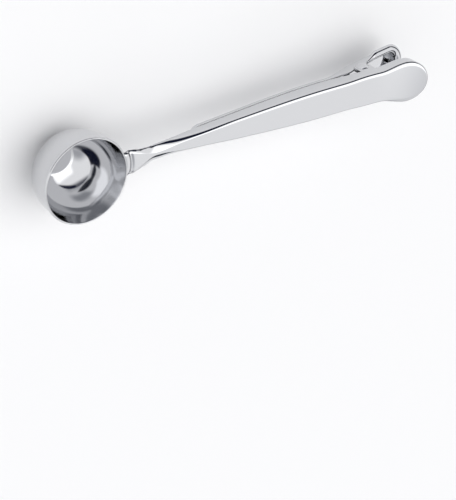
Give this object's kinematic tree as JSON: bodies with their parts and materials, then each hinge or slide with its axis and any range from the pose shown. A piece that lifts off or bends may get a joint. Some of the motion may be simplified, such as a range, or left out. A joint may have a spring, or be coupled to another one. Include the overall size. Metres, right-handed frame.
{
  "type": "bag clip",
  "caption": "Polished steel coffee measuring scoop whose hollow handle carries a long sprung jaw, so that it also clips a bag shut.",
  "frame": {"origin": "middle of the flat under the bowl", "axes": "+Z is the way the bowl opens, +X runs from the bowl along the handle, +Y is across the handle"},
  "size_m": [0.1916, 0.038, 0.0358],
  "materials": {
    "polished_steel": "polished",
    "rivet_steel": "polished",
    "spring_steel": "satin"
  },
  "bodies": {
    "scoop": {"bowl": "polished_steel", "handle": "polished_steel", "pivot_rivet": "rivet_steel", "torsion_spring": "spring_steel"},
    "clip": {"clip_arm": "polished_steel"}
  },
  "joints": [
    {"name": "clip_hinge", "type": "hinge", "parent": "scoop", "child": "clip", "pos_m": [0.1431, 0, 0.02039], "axis": [0, -1, 0], "range_deg": [0, 30], "stiffness_Nm_per_rad": 0.25, "springref_deg": -60.16, "deforming": ["torsion_spring"]}
  ]
}
